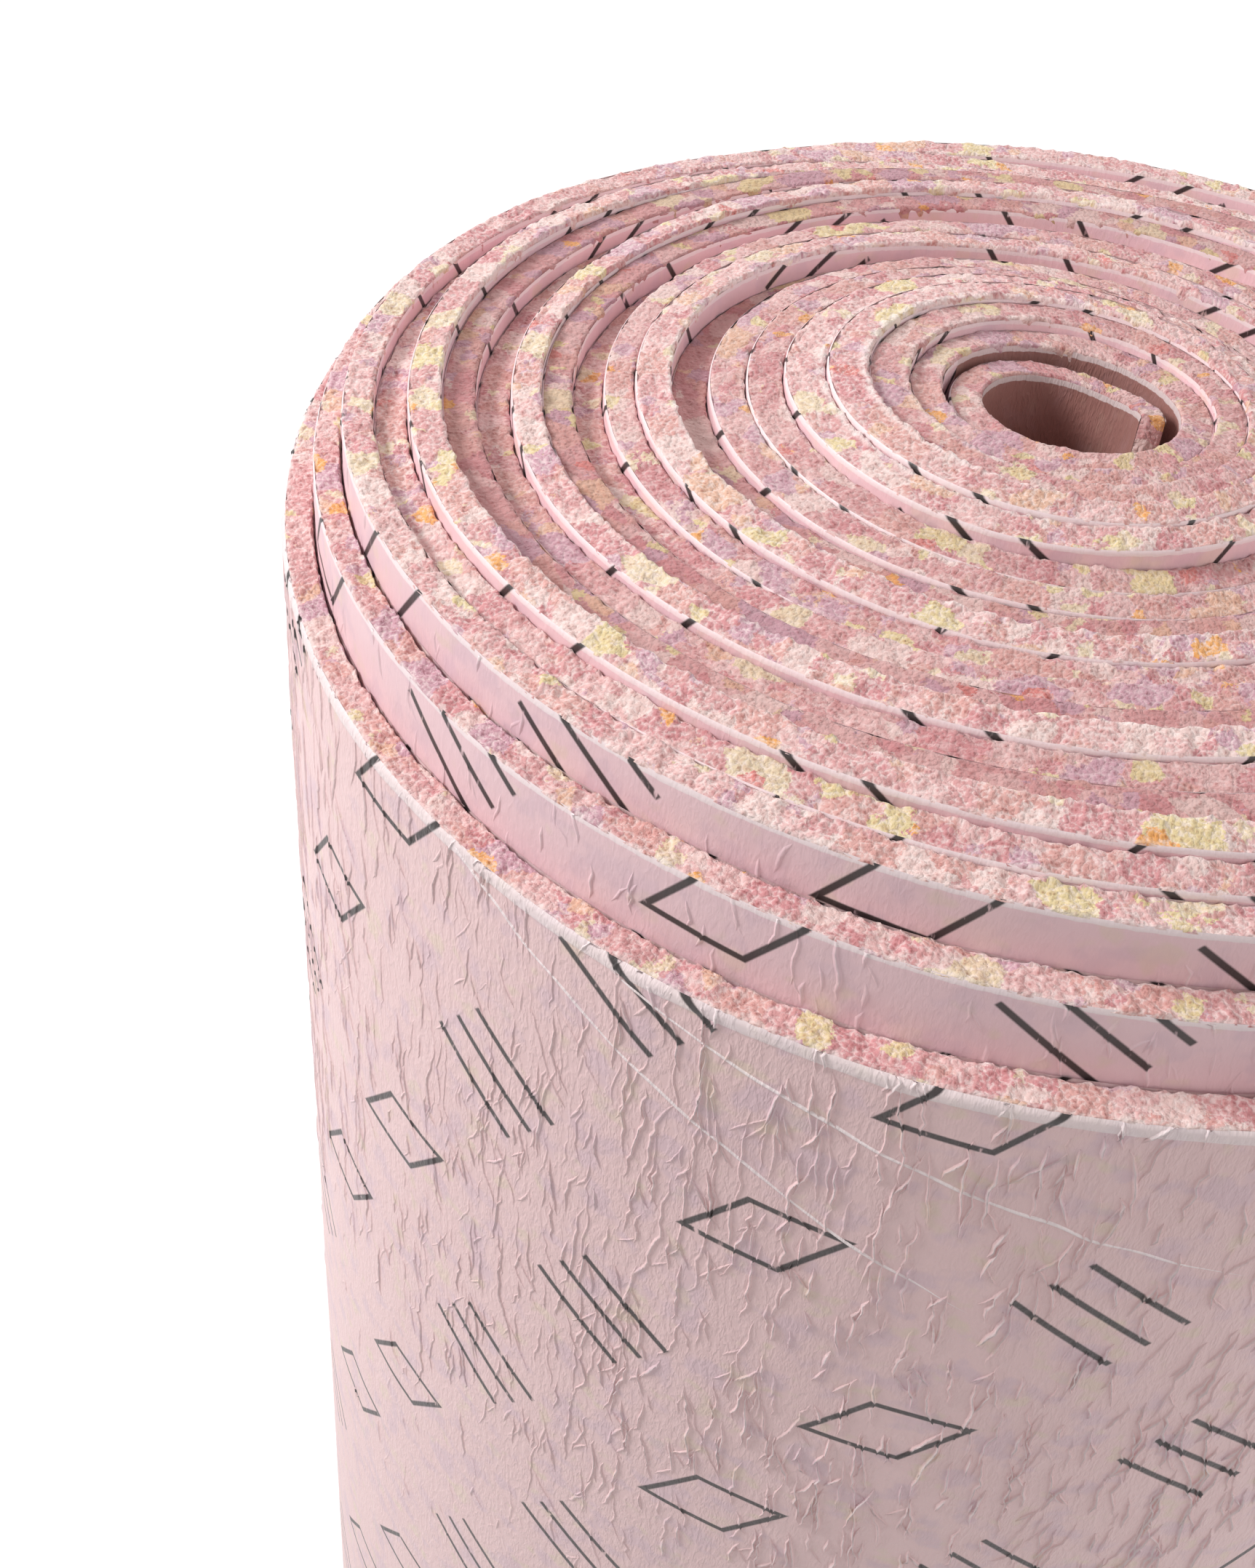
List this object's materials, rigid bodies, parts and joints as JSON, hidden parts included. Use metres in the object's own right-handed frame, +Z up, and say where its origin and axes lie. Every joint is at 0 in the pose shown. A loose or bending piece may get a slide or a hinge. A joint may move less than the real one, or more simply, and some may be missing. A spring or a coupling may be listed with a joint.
{
  "type": "foam flooring underlay roll",
  "caption": "Roll of film-faced chip-foam flooring underlay standing on its end, with an open round bore through its middle and the wound turns showing as stepped rings on both ends.",
  "frame": {"origin": "on the roll's axis, level with the ring that it stands on", "axes": "+Z up along the roll's axis, X and Y across it"},
  "size_m": [0.325, 0.3248, 1.394],
  "materials": {
    "foam": "open-celled chip foam, granular and matt, pink with lilac, cream, peach and a few orange chips",
    "film": "thin satin film laminated to both faces of the foam, crinkled across the turns, pale pink over the chips, with a sparse dark print"
  },
  "bodies": {
    "root": {"underlay_roll": "foam"}
  },
  "joints": []
}
